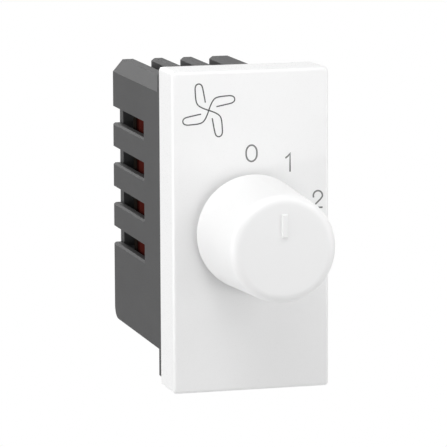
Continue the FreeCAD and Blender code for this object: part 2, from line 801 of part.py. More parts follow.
def make_front_carrier():
    """Plate in the housing's mouth, with windows for the fingers and two snap lugs."""
    body = new_body("front_carrier")
    plate = upright_sketch(body, "plate", "carrier_setback")
    half = "(cavity_half - carrier_clearance)"
    draw_outline(plate, housing_section(half, "cavity_floor + carrier_clearance",
                                        "cavity_top - carrier_clearance"))
    draw_circle(plate, "0", "0", "bush_radius + bush_hole_clearance")
    for finger in ("upper_finger_low", "lower_finger_low"):
        draw_box(plate, "-(finger_width / 2 + finger_clearance)",
                 "finger_width / 2 + finger_clearance",
                 f"{finger} - finger_clearance", f"{finger} + finger_thickness + finger_clearance")
    pad(body, plate, "carrier_thickness")
    lugs = upright_sketch(body, "lugs", "carrier_lug_setback")
    for side in ("", "-"):
        draw_box(lugs, f"{side}({half} - join_overlap)",
                 f"{side}(cavity_half + carrier_lug_reach - carrier_clearance)",
                 "carrier_lug_low", "carrier_lug_low + carrier_lug_height")
    pad(body, lugs, "carrier_lug_depth")


def make_switch_case():
    """Cup of the rotary switch, with the two stops that limit its turn."""
    body = turned("switch_case", [
        ("carrier_back", "bush_radius + bush_fit"),
        ("carrier_back", "case_radius"),
        ("case_back", "case_radius"),
        ("case_back", "case_inner_radius"),
        ("carrier_back + case_face", "case_inner_radius"),
        ("carrier_back + case_face", "bush_radius + bush_fit"),
    ])
    stops = upright_sketch(body, "stops", "rotor_front")
    for angle in ("first_stop_angle", "last_stop_angle"):
        draw_sector(stops, "stop_inner_radius", "case_radius - case_wall / 2",
                    angle, "stop_half_angle")
    pad(body, stops, "rotor_thickness")


def make_switch_bush():
    """Brass bush that carries the spindle and clamps the switch to the carrier."""
    turned("switch_bush", [
        ("-bush_reach", "spindle_radius + spindle_fit"),
        ("-bush_reach", "bush_radius"),
        ("carrier_back + case_face", "bush_radius"),
        ("carrier_back + case_face", "bush_flange_radius"),
        ("bush_back", "bush_flange_radius"),
        ("bush_back", "spindle_radius + spindle_fit"),
    ])


def make_switch_nut():
    """Thin hexagon nut on the bush, in front of the carrier."""
    body = new_body("switch_nut")
    hexagon = upright_sketch(body, "hexagon", "nut_front")
    corner_radius = "nut_across_flats / 2 / cos(30)"
    corner_angles = range(0, 360, 60)
    draw_outline(hexagon, [on_circle(corner_radius, str(angle)) for angle in corner_angles])
    draw_circle(hexagon, "0", "0", "bush_radius + bush_fit")
    pad(body, hexagon, "nut_thickness")


def make_detent_wheel():
    """Notched wheel on the spindle: one notch for each position."""
    body = new_body("detent_wheel")
    disc = upright_sketch(body, "disc", "wheel_front")
    draw_circle(disc, "0", "0", "wheel_radius")
    draw_flatted_circle(disc, "spindle_radius + drive_fit", "spindle_flat + drive_fit")
    pad(body, disc, "wheel_thickness")
    notch = upright_sketch(body, "notch", "wheel_front")
    draw_circle(notch, "-(wheel_radius + notch_radius - notch_depth)", "0", "notch_radius")
    cut = pocket(body, notch, "wheel_thickness")
    steps_of(body, [cut], notch, clockwise=False)


def make_detent_spring():
    """Curved leaf spring in the case, with the bump that rides on the wheel."""
    body = new_body("detent_spring")
    depth = "wheel_front + (wheel_thickness - spring_width) / 2"
    outer = "(wheel_radius + bump_clearance + 2 * bump_radius)"
    leaf = upright_sketch(body, "leaf", depth)
    draw_circle(leaf, "0", "0", outer)
    draw_circle(leaf, "0", "0", f"{outer} - spring_thickness")
    pad(body, leaf, "spring_width")
    ends = upright_sketch(body, "ends", depth)
    cut_at = f"-sqrt({outer} ^ 2 - spring_half_length ^ 2)"
    draw_box(ends, cut_at, "case_radius", "-case_radius", "case_radius")
    pocket(body, ends, "spring_width")
    bump = upright_sketch(body, "bump", depth)
    draw_circle(bump, f"-({outer} - bump_radius)", "0", "bump_radius")
    pad(body, bump, "spring_width")


def make_contact_rotor():
    """Insulating disc that carries the wiper, with the lug that meets the stops."""
    body = new_body("contact_rotor")
    disc = upright_sketch(body, "disc", "rotor_front")
    draw_circle(disc, "0", "0", "rotor_radius")
    draw_flatted_circle(disc, "spindle_radius + drive_fit", "spindle_flat + drive_fit")
    pad(body, disc, "rotor_thickness")
    lug = upright_sketch(body, "lug", "rotor_front")
    draw_sector(lug, "rotor_radius - join_overlap", "lug_outer_radius",
                "stop_rest_angle", "stop_half_angle")
    pad(body, lug, "rotor_thickness")


def make_wiper_contact():
    """Spring contact on the rotor, whose tip passes over the fixed contacts."""
    body = new_body("wiper_contact")
    strip = upright_sketch(body, "strip", "rotor_back")
    draw_box(strip, "-wiper_width / 2", "wiper_width / 2",
             "wiper_inner", "contact_circle + wiper_tip_radius")
    pad(body, strip, "wiper_thickness")
    tip = upright_sketch(body, "tip", "rotor_back + wiper_thickness")
    draw_circle(tip, "0", "contact_circle", "wiper_tip_radius")
    pad(body, tip, "case_back - contact_head_height - contact_gap"
                   " - (rotor_back + wiper_thickness)")


def make_rear_wafer():
    """Laminate disc that closes the switch and holds the fixed contacts."""
    body = new_body("rear_wafer")
    disc = upright_sketch(body, "disc", "case_back")
    draw_circle(disc, "0", "0", "case_radius")
    draw_circle(disc, "0", "0", "pivot_radius + pivot_fit")
    pad(body, disc, "wafer_thickness")
    hole = upright_sketch(body, "contact_hole", "case_back")
    draw_circle(hole, "0", "contact_circle", "contact_shank_radius")
    cut = pocket(body, hole, "wafer_thickness")
    steps_of(body, [cut], hole, clockwise=True)


def make_fixed_contacts():
    """Contact rivets in the wafer, one for each position."""
    body = new_body("fixed_contacts")
    head = upright_sketch(body, "head", "case_back - contact_head_height")
    draw_circle(head, "0", "contact_circle", "contact_head_radius")
    head_pad = pad(body, head, "contact_head_height")
    shank = upright_sketch(body, "shank", "case_back")
    draw_circle(shank, "0", "contact_circle", "contact_shank_radius")
    shank_pad = pad(body, shank, "wafer_thickness + contact_tail")
    steps_of(body, [head_pad, shank_pad], shank, clockwise=True)


def make_circuit_board():
    """Laminate board on the housing's seats, drilled for leads and jumpers."""
    body = new_body("circuit_board")
    board = upright_sketch(body, "board", "board_front")
    half = "(cavity_half - board_clearance)"
    top = "(cavity_top - board_clearance)"
    notch = "(cavity_half - shoulder_across - post_width - board_clearance)"
    draw_outline(board, [
        (f"-{half}", "shelf_high + board_clearance"),
        (half, "shelf_high + board_clearance"),
        (half, f"{top} - shoulder_down"),
        (f"{half} - ledge_width", f"{top} - shoulder_down"),
        (f"{half} - ledge_width - shoulder_across", top),
        (f"-{notch}", top),
        (f"-{notch}", f"{top} - shoulder_down"),
        (f"-{half}", f"{top} - shoulder_down"),
    ])
    for middle in ("upper_capacitor_middle", "lower_capacitor_middle"):
        for side in ("", "-"):
            draw_circle(board, f"{side}lead_across", middle,
                        "lead_radius + lead_hole_clearance")
            draw_circle(board, f"{side}resistor_spread / 2", middle,
                        "resistor_lead_radius + lead_hole_clearance")
    for step in range(int(number("jumper_count"))):
        draw_circle(board, f"({step} - (jumper_count - 1) / 2) * jumper_pitch", "jumper_top",
                    "jumper_radius + lead_hole_clearance")
    pad(body, board, "board_thickness")


def make_capacitor(name, low, high):
    """Box capacitor with its long edges rounded, lying across the housing."""
    body = new_body(name)
    block = upright_sketch(body, "block", "capacitor_front")
    draw_box(block, "-capacitor_half", "capacitor_half", low, high)
    pad(body, block, "board_front - (capacitor_front)")
    round_edges(body, "long_edges", "capacitor_round", lambda edge: runs_along(edge, 0))


def make_capacitor_leads():
    """Four straight leads from the capacitors through the board."""
    rods = []
    front = number("board_front")
    back = number("board_back") + number("lead_tail")
    for middle in ("upper_capacitor_middle", "lower_capacitor_middle"):
        for side in (-1, 1):
            across = side * number("lead_across")
            start = Vector(across, front, number(middle))
            end = Vector(across, back, number(middle))
            rods.append(cylinder_between(start, end, number("lead_radius")))
    loose_shape("capacitor_leads", Part.makeCompound(rods))


def make_bleed_resistors():
    """Two small resistors behind the board, each with its bent leads."""
    resistors = []
    radius = number("resistor_radius")
    length = number("resistor_length")
    depth = number("board_back") + number("resistor_standoff") + radius
    spread = number("resistor_spread") / 2
    for middle in ("upper_capacitor_middle", "lower_capacitor_middle"):
        height = number(middle)
        start = Vector(-length / 2, depth, height)
        end = Vector(length / 2, depth, height)
        shape = cylinder_between(start, end, radius)
        for side in (-1, 1):
            wire = bent_wire([
                Vector(side * (length / 2 - number("join_overlap")), depth, height),
                Vector(side * spread, depth, height),
                Vector(side * spread, number("board_front"), height),
            ], number("resistor_lead_radius"))
            shape = shape.fuse(wire)
        resistors.append(shape.Solids[0])
    loose_shape("bleed_resistors", Part.makeCompound(resistors))


def make_jumper_wires():
    """Stiff wires from the switch, over the upper capacitor and through the board."""
    wires = []
    count = int(number("jumper_count"))
    back = number("wafer_back")
    turn_depth = back + number("jumper_offset")
    for step in range(count):
        across = (step - (count - 1) / 2) * number("jumper_pitch")
        wires.append(bent_wire([
            Vector(across, back, number("jumper_foot")),
            Vector(across, turn_depth, number("jumper_foot")),
            Vector(across, turn_depth, number("jumper_top")),
            Vector(across, number("board_back") + number("lead_tail"), number("jumper_top")),
        ], number("jumper_radius")))
    loose_shape("jumper_wires", Part.makeCompound(wires))


def make_terminal(name, side):
    """One screw terminal: its cage, bar, clamp plate and screw."""
    middle = f"{side}terminal_middle"
    cage = new_body(f"{name}_cage")
    tube = upright_sketch(cage, "tube", "cage_front")
    draw_box(tube, f"{middle} - cage_half", f"{middle} + cage_half", "cage_low", "cage_high")
    draw_box(tube, f"{middle} - cage_half + cage_side", f"{middle} + cage_half - cage_side",
             "cage_low + cage_floor", "bar_high")
    pad(cage, tube, "cage_length")
    thread = level_sketch(cage, "thread", "cage_low + cage_floor")
    draw_circle(thread, middle, "cage_middle", "screw_radius")
    pocket(cage, thread, "cage_floor")

    bar = new_body(f"{name}_bar")
    bend = side_sketch(bar, "bend", f"{middle} - bar_width / 2")
    draw_outline(bend, [
        ("cage_front + bar_end_gap", "bar_low"),
        ("bar_back", "bar_low"),
        ("bar_back", "bar_high + bar_reach"),
        ("board_back", "bar_high + bar_reach"),
        ("board_back", "bar_high"),
        ("cage_front + bar_end_gap", "bar_high"),
    ])
    pad(bar, bend, "bar_width", reverse=False)

    plate = new_body(f"{name}_clamp_plate")
    slab = level_sketch(plate, "slab", "plate_low")
    reach = "(cage_half - cage_side - plate_gap)"
    draw_box(slab, f"{middle} - {reach}", f"{middle} + {reach}",
             "cage_front + bar_end_gap", "cage_back - bar_end_gap")
    pad(plate, slab, "plate_thickness", reverse=False)

    screw = new_body(f"{name}_screw")
    head = level_sketch(screw, "head", "screw_head_low")
    draw_circle(head, middle, "cage_middle", "screw_head_radius")
    pad(screw, head, "screw_head_height", reverse=False)
    shank = level_sketch(screw, "shank", "screw_head_low + screw_head_height")
    draw_circle(shank, middle, "cage_middle", "screw_radius - screw_fit")
    pad(screw, shank, "plate_low - (screw_head_low + screw_head_height)", reverse=False)
    slot = level_sketch(screw, "slot", "screw_head_low")
    draw_box(slot, f"{middle} - screw_head_radius - cut_overrun",
             f"{middle} + screw_head_radius + cut_overrun",
             "cage_middle - screw_slot_width / 2", "cage_middle + screw_slot_width / 2")
    pocket(screw, slot, "screw_slot_depth", reverse=True)


def check_and_write():
    """Stop if any object failed, then write each sub-part to its own file."""
    document.recompute()
    for item in document.Objects:
        if "Invalid" in item.State or "Error" in item.State:
            raise RuntimeError(f"{item.Label} failed: {item.State}")
    for item in sub_parts:
        if item.Shape.isNull() or not item.Shape.isValid() or not item.Shape.Solids:
            raise RuntimeError(f"{item.Label} has no valid shape")
    os.makedirs("parts", exist_ok=True)
    for item in sub_parts:
        item.Shape.exportStep(f"parts/{item.Label}.step")
        print(item.Label, len(item.Shape.Solids), round(item.Shape.Volume, 1))


make_front_cover()
make_knob()
make_knob_clip()
make_spindle()
make_rear_housing()
make_front_carrier()
make_switch_case()
make_switch_bush()
make_switch_nut()
make_detent_wheel()
make_detent_spring()
make_contact_rotor()
make_wiper_contact()
make_rear_wafer()
make_fixed_contacts()
make_circuit_board()
make_capacitor("upper_capacitor", "upper_capacitor_low", "upper_capacitor_high")
make_capacitor("lower_capacitor", "lower_capacitor_low", "lower_capacitor_high")
make_capacitor_leads()
make_bleed_resistors()
make_jumper_wires()
make_terminal("line_terminal", "-")
make_terminal("load_terminal", "")
check_and_write()
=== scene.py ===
import json
from math import cos, pi, radians, sin

import bmesh
import bpy
from mathutils import Euler, Matrix, Vector


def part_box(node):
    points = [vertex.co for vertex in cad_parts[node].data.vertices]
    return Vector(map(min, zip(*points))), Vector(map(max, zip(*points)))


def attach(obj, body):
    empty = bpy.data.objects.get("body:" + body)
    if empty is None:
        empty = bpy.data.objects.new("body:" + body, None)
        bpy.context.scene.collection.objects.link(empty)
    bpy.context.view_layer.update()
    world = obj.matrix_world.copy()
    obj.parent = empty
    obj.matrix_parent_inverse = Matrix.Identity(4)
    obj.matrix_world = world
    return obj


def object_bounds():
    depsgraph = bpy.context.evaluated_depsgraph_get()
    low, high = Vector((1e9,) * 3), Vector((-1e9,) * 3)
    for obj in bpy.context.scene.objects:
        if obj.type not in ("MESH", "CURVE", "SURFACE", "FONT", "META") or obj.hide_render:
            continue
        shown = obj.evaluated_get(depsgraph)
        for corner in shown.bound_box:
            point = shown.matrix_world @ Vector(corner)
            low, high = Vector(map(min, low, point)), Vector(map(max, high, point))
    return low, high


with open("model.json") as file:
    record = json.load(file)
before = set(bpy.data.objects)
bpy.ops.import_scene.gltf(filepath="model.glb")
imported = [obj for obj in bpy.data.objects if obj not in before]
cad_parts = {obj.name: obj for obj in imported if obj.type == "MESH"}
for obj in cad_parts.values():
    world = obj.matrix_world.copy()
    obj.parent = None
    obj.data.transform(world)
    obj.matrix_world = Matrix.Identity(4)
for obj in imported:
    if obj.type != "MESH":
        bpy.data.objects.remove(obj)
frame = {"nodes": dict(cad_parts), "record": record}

# The looks of a fan speed control switch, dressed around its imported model.
# The model gives every solid. Added here are the printed numbers, the fan symbol,
# each piece's finish, and the studio. Lengths are in metres and angles in radians.

bl_info = {
    "name": "Fan speed switch looks",
    "version": (1, 0, 0),
    "blender": (4, 5, 0),
    "location": "View3D > Sidebar > Fan switch",
    "description": "Prints, finishes and lights a wall switch for fan speeds",
    "category": "Object",
}

MM = 0.001
COVER_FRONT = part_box("front_cover")[0][1]
CAPACITOR_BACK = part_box("upper_capacitor")[1][1]
SWITCH_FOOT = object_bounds()[0][2]


# Sizes and colours that a user can change

def length(name, description, default, low, high, precision=5):
    """A length that a user can set."""
    return bpy.props.FloatProperty(
        name=name, description=description, default=default, min=low, max=high,
        precision=precision, subtype="DISTANCE", unit="LENGTH")


def turn(name, description, default):
    """An angle that a user can set."""
    return bpy.props.FloatProperty(
        name=name, description=description, default=default, unit="ROTATION")


def paint(name, description, default):
    """A colour that a user can set."""
    return bpy.props.FloatVectorProperty(
        name=name, description=description, default=default, min=0, max=1,
        subtype="COLOR", size=3)


class PrintSizes(bpy.types.PropertyGroup):
    """Sizes of the numbers and the symbol printed on the front cover."""

    digit_height: length(
        "Number height", "Height of a number, between the middles of its strokes",
        2.27 * MM, MM, 4 * MM)
    digit_stroke: length(
        "Number stroke", "Width of a number's strokes", 0.225 * MM, 0.1 * MM, 0.6 * MM)
    dial_radii: bpy.props.FloatVectorProperty(
        name="Dial radii", description="Distance of each number's centre from the knob's axis",
        size=5, default=(10.88 * MM, 10.73 * MM, 10.48 * MM, 9.8 * MM, 10.5 * MM),
        precision=5, unit="LENGTH")
    dial_angles: bpy.props.FloatVectorProperty(
        name="Dial angles", description="Place of each number, clockwise from the top",
        size=5, default=(radians(0.5), radians(29.6), radians(67.2), radians(100), radians(132)),
        unit="ROTATION")
    symbol_centre: bpy.props.FloatVectorProperty(
        name="Symbol centre", description="The fan symbol's hub, across and above the knob's axis",
        size=2, default=(-5.99 * MM, 17.08 * MM), precision=5, unit="LENGTH")
    symbol_stroke: length(
        "Symbol stroke", "Width of the symbol's line", 0.168 * MM, 0.1 * MM, 0.6 * MM)
    ink_height: length(
        "Ink height", "How far the ink stands off the cover",
        0.015 * MM, 0.005 * MM, 0.1 * MM, precision=6)


class FinishColours(bpy.types.PropertyGroup):
    """Colours of the plastics and the ink, as linear light."""

    cover: paint("Cover", "White of the front cover", (0.86, 0.86, 0.86))
    knob: paint("Knob", "White of the knob", (0.88, 0.88, 0.88))
    housing: paint("Housing", "Dark grey of the rear housing", (0.07, 0.07, 0.071))
    capacitor: paint("Capacitor", "Red-brown of the capacitors", (0.07, 0.012, 0.009))
    digit_ink: paint("Number ink", "Grey of the printed numbers", (0.19, 0.19, 0.19))
    symbol_ink: paint("Symbol ink", "Grey of the printed symbol", (0.08, 0.08, 0.08))


class StudioSizes(bpy.types.PropertyGroup):
    """Camera, floor and even light of the studio."""

    camera_place: bpy.props.FloatVectorProperty(
        name="Camera place", description="Where the camera stands", subtype="TRANSLATION", size=3,
        default=(-134.5 * MM, -486.21 * MM, 79.81 * MM), precision=5, unit="LENGTH")
    camera_yaw: turn(
        "Camera yaw", "How far the camera is turned to the right", radians(15.274))
    camera_pitch: turn("Camera pitch", "How far the camera looks down", radians(9.01))
    camera_roll: turn("Camera roll", "How far the camera leans", radians(-0.266))
    focal_length: bpy.props.FloatProperty(
        name="Focal length", description="Focal length in millimetres on a 36 mm sensor",
        default=292.14, min=20, max=500)
    ambient: bpy.props.FloatProperty(
        name="Ambient", description="Even light from all round", default=0.4, min=0, max=2)
    floor_drop: length(
        "Floor drop", "How far below the switch the floor lies", 60 * MM, 0, 1)


# Printing with meshes

# How far a corner may reach, in half widths of the stroke
MITRE_LIMIT = 1.8


def new_piece(name, mesh_editor, body, finish):
    """A finished piece from a bmesh. It rides on a body and takes its material."""
    mesh = bpy.data.meshes.new(name)
    mesh_editor.to_mesh(mesh)
    mesh_editor.free()
    piece = bpy.data.objects.new(name, mesh)
    bpy.context.scene.collection.objects.link(piece)
    mesh.materials.append(finish)
    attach(piece, body)


def arc(across, up, radius, start, end, tall=1.0, steps=16):
    """Points along an arc. Angles run clockwise from the top, and tall stretches it upwards."""
    points = []
    for step in range(steps + 1):
        angle = start + (end - start) * step / steps
        points.append((across + radius * sin(angle), up + tall * radius * cos(angle)))
    return points


def smooth(turns, steps=5):
    """A smooth line through the turns, by cubic curves whose ends share their slopes."""
    ends = [turns[0]] + turns + [turns[-1]]
    line = []
    for before, start, end, after in zip(ends, ends[1:], ends[2:], ends[3:]):
        for step in range(steps):
            t = step / steps
            line.append(tuple(
                s + 0.5 * t * (e - b + t * (2 * b - 5 * s + 4 * e - a + t * (3 * (s - e) + a - b)))
                for b, s, e, a in zip(before, start, end, after)))
    return line + [turns[-1]]


def half_widths(path, stroke, closed):
    """From each point of a path to the left edge of its stroke, with mitred corners."""
    last = len(path) - 1
    for index, point in enumerate(path):
        before = path[index - 1] if closed or index else point
        after = path[0 if index == last else index + 1] if closed or index < last else point
        arriving = (Vector(point) - Vector(before)).normalized()
        leaving = (Vector(after) - Vector(point)).normalized()
        run = (arriving + leaving).normalized()
        lean = max(run.dot(arriving), run.dot(leaving), 1 / MITRE_LIMIT)
        yield Vector((-run.y, 0, run.x)) * stroke / 2 / lean


def draw_stroke(ink, path, stroke, height, closed=False):
    """Lay a band of ink along a path: a line is drawn out to both sides, then raised."""
    line = [ink.verts.new((across, 0, up)) for across, up in path]
    edges = [ink.edges.new(ends) for ends in zip(line, line[1:] + line[:int(closed)])]
    drawn = bmesh.ops.extrude_edge_only(ink, edges=edges)["geom"]
    for vert, aside in zip(line, half_widths(path, stroke, closed)):
        others = [edge.other_vert(vert) for edge in vert.link_edges]
        twin = next(other for other in others if other not in line)
        twin.co -= aside
        vert.co += aside
    band = [item for item in drawn if isinstance(item, bmesh.types.BMFace)]
    bmesh.ops.recalc_face_normals(ink, faces=band)
    raised = bmesh.ops.extrude_face_region(ink, geom=band)["geom"]
    lifted = [item for item in raised if isinstance(item, bmesh.types.BMVert)]
    bmesh.ops.translate(ink, verts=lifted, vec=(0, -height, 0))


def print_piece(name, ink, across, up, finish):
    """Move a drawing to its place on the cover's front, and make it a piece."""
    bmesh.ops.translate(ink, verts=ink.verts, vec=(across, COVER_FRONT, up))
    bmesh.ops.recalc_face_normals(ink, faces=ink.faces)
    new_piece(name, ink, "housing", finish)


def zero():
    """Strokes of the number 0, one unit high about its centre."""
    head = arc(0, 0.06, 0.34, -pi / 2, pi / 2, tall=1.29, steps=20)
    foot = arc(0, -0.06, 0.34, pi / 2, 3 * pi / 2, tall=1.29, steps=20)
    return [(head + foot, True)]


def one():
    """Stroke of the number 1."""
    return [([(-0.15, 0.3), (0.02, 0.42), (0.15, 0.57), (0.15, -0.55)], False)]


def two():
    """Stroke of the number 2."""
    bowl = arc(0, 0.22, 0.29, -1.95, 1.8, tall=1.03, steps=20)
    return [(bowl + [(0.17, 0), (-0.27, -0.42), (-0.31, -0.52), (0.3, -0.52)], False)]


def three():
    """Strokes of the number 3."""
    upper = arc(-0.02, 0.25, 0.24, -1.3, pi)
    lower = arc(-0.02, -0.23, 0.27, 0, pi + 1.3)
    return [(upper, False), (lower, False)]


def four():
    """Stroke of the number 4."""
    return [([(0.3, -0.25), (-0.34, -0.25), (0.12, 0.5), (0.12, -0.5)], False)]


DIGITS = {"number_0": zero, "number_1": one, "number_2": two, "number_3": three, "number_4": four}

# The line of one blade, in millimetres: from the hub up its edge, round its tip and back
FAN_BLADE = [
    (0, 0), (-0.69, 0.26), (-1.3, 0.59), (-1.67, 0.98), (-1.84, 1.6), (-1.91, 2.5), (-1.92, 3.13),
    (-1.75, 3.56), (-1.38, 3.7), (-1.04, 3.53), (-0.86, 3.1), (-0.68, 2.2), (-0.48, 1.1),
]
BLADE_COUNT = 4


class FAN_SWITCH_OT_numbers(bpy.types.Operator):
    """Print the numbers 0 to 4 round the knob"""

    bl_idname = "fan_switch.numbers"
    bl_label = "Print the numbers"

    def execute(self, context):
        sizes = context.scene.switch_print
        finish = ink_finish("number_ink", context.scene.switch_colours.digit_ink)
        height = sizes.digit_height
        for (name, strokes), angle, radius in zip(
                DIGITS.items(), sizes.dial_angles, sizes.dial_radii):
            ink = bmesh.new()
            for path, closed in strokes():
                path = [(across * height, up * height) for across, up in path]
                draw_stroke(ink, path, sizes.digit_stroke, sizes.ink_height, closed)
            print_piece(name, ink, radius * sin(angle), radius * cos(angle), finish)
        return {"FINISHED"}


class FAN_SWITCH_OT_fan_symbol(bpy.types.Operator):
    """Print the outline of a fan with four blades"""

    bl_idname = "fan_switch.fan_symbol"
    bl_label = "Print the fan symbol"

    def execute(self, context):
        sizes = context.scene.switch_print
        finish = ink_finish("symbol_ink", context.scene.switch_colours.symbol_ink)
        ink = bmesh.new()
        blade = smooth([(across * MM, up * MM) for across, up in FAN_BLADE])
        for step in range(BLADE_COUNT):
            angle = 2 * pi * step / BLADE_COUNT
            turned = [(across * cos(angle) + up * sin(angle), up * cos(angle) - across * sin(angle))
                      for across, up in blade]
            draw_stroke(ink, turned, sizes.symbol_stroke, sizes.ink_height)
        print_piece("fan_symbol", ink, *sizes.symbol_centre, finish)
        return {"FINISHED"}


# Finishes: shader maths is written as expressions on values

class Value:
    """One output of a shader node. Arithmetic on values adds Math nodes."""

    def __init__(self, finish, socket):
        self.finish = finish
        self.socket = socket

    def __add__(self, other):
        return self.finish.math("ADD", self, other)

    __radd__ = __add__

    def __sub__(self, other):
        return self.finish.math("SUBTRACT", self, other)

    def __rsub__(self, other):
        return self.finish.math("SUBTRACT", other, self)

    def __mul__(self, other):
        return self.finish.math("MULTIPLY", self, other)

    __rmul__ = __mul__

    def __abs__(self):
        return self.finish.math("ABSOLUTE", self, 0)

    def __lt__(self, other):
        return self.finish.math("LESS_THAN", self, other)

    def __gt__(self, other):
        return self.finish.math("GREATER_THAN", self, other)


class Finish:
    """A material that is built up from nodes, on the piece's own coordinates."""

    def __init__(self, name, constants):
        self.material = bpy.data.materials.new(name)
        self.material.use_nodes = True
        self.tree = self.material.node_tree
        self.shader = self.tree.nodes["Principled BSDF"]
        for socket, constant in constants.items():
            self.shader.inputs[socket].default_value = constant
        self.place = self.node("ShaderNodeTexCoord", output="Object")

    def node(self, kind, settings=None, inputs=None, output=0):
        """Add any node: first its settings, then the values or links of its sockets."""
        node = self.tree.nodes.new(kind)
        for setting, value in (settings or {}).items():
            if setting == "stops":
                self.set_stops(node.color_ramp, value)
            else:
                setattr(node, setting, value)
        for socket, value in (inputs or {}).items():
            self.feed(node.inputs[socket], value)
        return Value(self, node.outputs[output])

    def set_stops(self, ramp, stops):
        """Give a grey ramp its stops, each a place and a level."""
        for element, (place, level) in zip(ramp.elements, stops):
            element.position = place
            element.color = (level, level, level, 1)

    def feed(self, socket, value):
        """Link a value to a socket, or set the socket to a plain number or colour."""
        if isinstance(value, Value):
            self.tree.links.new(value.socket, socket)
        elif socket.type == "RGBA" and len(value) == 3:
            socket.default_value = (*value, 1)
        else:
            socket.default_value = value

    def set(self, socket, value):
        """Feed one of the shader's own sockets."""
        self.feed(self.shader.inputs[socket], value)

    def math(self, operation, first, second):
        """One Math node."""
        return self.node("ShaderNodeMath", {"operation": operation}, {0: first, 1: second})

    def along(self, axis):
        """The place along one axis of the piece's own coordinates."""
        return self.node("ShaderNodeSeparateXYZ", None, {0: self.place}, axis)

    def noise(self, size, detail=2.0, roughness=0.5, stretch=None):
        """Soft noise from 0 to 1 whose blobs are about this wide."""
        place = self.place
        if stretch:
            place = self.node("ShaderNodeMapping", None, {"Vector": place, "Scale": stretch})
        inputs = {"Vector": place, "Scale": 1 / size, "Detail": detail, "Roughness": roughness}
        return self.node("ShaderNodeTexNoise", None, inputs)

    def rise(self, value, start, end):
        """From 0 to 1 while the value goes from the start to the end."""
        stops = ((start, 0.0), (end, 1.0))
        return self.node("ShaderNodeValToRGB", {"stops": stops}, {"Fac": value})

    def mix(self, factor, first, second):
        """One colour going over into another."""
        inputs = {0: factor, 6: first, 7: second}
        return self.node("ShaderNodeMix", {"data_type": "RGBA"}, inputs, 2)

    def bump(self, height, depth, strength):
        """Raise the surface by the height, where 1 stands for the depth."""
        inputs = {"Height": height, "Distance": depth, "Strength": strength}
        self.set("Normal", self.node("ShaderNodeBump", None, inputs))


def tinted(colour, factor):
    """A colour made lighter or darker by a factor."""
    return tuple(min(channel * factor, 1) for channel in colour)


def cover_finish(name, colour):
    """Satin white moulding: an even, finely eroded surface."""
    finish = Finish(name, {"Specular IOR Level": 0.5})
    grain = finish.noise(0.12 * MM, detail=3.0)
    clouds = finish.noise(6 * MM)
    finish.set("Base Color", finish.mix(clouds, tinted(colour, 0.992), tinted(colour, 1.006)))
    finish.set("Roughness", 0.26 + 0.04 * grain)
    finish.bump(grain, depth=0.002 * MM, strength=0.3)
    return finish.material


def knob_finish(name, colour):
    """White moulding with a softer gloss than the cover."""
    finish = Finish(name, {"Specular IOR Level": 0.5})
    grain = finish.noise(0.2 * MM)
    clouds = finish.noise(5 * MM)
    finish.set("Base Color", finish.mix(clouds, tinted(colour, 0.994), colour))
    finish.set("Roughness", 0.3 + 0.06 * grain)
    finish.bump(grain, depth=0.002 * MM, strength=0.4)
    return finish.material


def housing_finish(name, colour):
    """Matt grey moulding with glass fibre in it: eroded, with pale specks and faint flow marks."""
    finish = Finish(name, {"Specular IOR Level": 0.1})
    erosion = finish.noise(0.16 * MM, detail=4.0, roughness=0.6)
    flow = finish.noise(3.5 * MM, detail=3.0, stretch=(1, 0.35, 1))
    specks = finish.rise(finish.noise(0.09 * MM, detail=1.0), 0.62, 0.72)
    plain = finish.mix(flow, tinted(colour, 0.9), tinted(colour, 1.1))
    finish.set("Base Color", finish.mix(0.1 * specks, plain, tinted(colour, 2.2)))
    finish.set("Roughness", 0.52 + 0.14 * erosion)
    finish.bump(erosion, depth=0.012 * MM, strength=0.6)
    return finish.material


def plain_moulding(name, colour, roughness, grain_depth):
    """Hidden moulding with a light grain."""
    finish = Finish(name, {"Specular IOR Level": 0.4})
    grain = finish.noise(0.2 * MM, detail=3.0)
    clouds = finish.noise(2 * MM)
    finish.set("Base Color", finish.mix(clouds, tinted(colour, 0.92), tinted(colour, 1.06)))
    finish.set("Roughness", roughness + 0.1 * grain)
    finish.bump(grain, depth=grain_depth, strength=0.5)
    return finish.material


def laminate_finish(name, colour):
    """Dark paper laminate: fibres along the sheet, with no gloss."""
    finish = Finish(name, {"Specular IOR Level": 0.0})
    fibres = finish.noise(0.5 * MM, detail=5.0, roughness=0.65, stretch=(0.3, 1, 1))
    finish.set("Base Color", finish.mix(fibres, tinted(colour, 0.7), tinted(colour, 1.35)))
    finish.set("Roughness", 0.45 + 0.15 * fibres)
    finish.bump(fibres, depth=0.006 * MM, strength=0.4)
    return finish.material


def lacquer(name, colour, gloss):
    """A finish with a wavy coat of lacquer, and the lacquer's colour."""
    finish = Finish(name, {"Specular IOR Level": gloss})
    waves = finish.noise(1.4 * MM)
    finish.set("Roughness", 0.32 + 0.12 * waves)
    finish.bump(waves, depth=0.03 * MM, strength=0.3)
    return finish, finish.mix(waves, tinted(colour, 0.85), tinted(colour, 1.12))


# Painted shade at a capacitor's back, and how far it goes over into the lacquer
BACK_SHADE_DEPTH = 1.7 * MM
BACK_SHADE_BLEND = 1 * MM


def capacitor_finish(name, colour):
    """Dipped box with a wavy surface, with painted shade darkening it towards its back."""
    finish, coat = lacquer(name, colour, gloss=0.0)
    depth = finish.along("Y") - (CAPACITOR_BACK - BACK_SHADE_DEPTH)
    # painted shade: the lacquer is darkened towards the capacitor's back edge
    painted_shade = finish.rise(depth * (1 / BACK_SHADE_BLEND), 0, 1)
    finish.set("Base Color", finish.mix(painted_shade, coat, tinted(colour, 0.3)))
    return finish.material


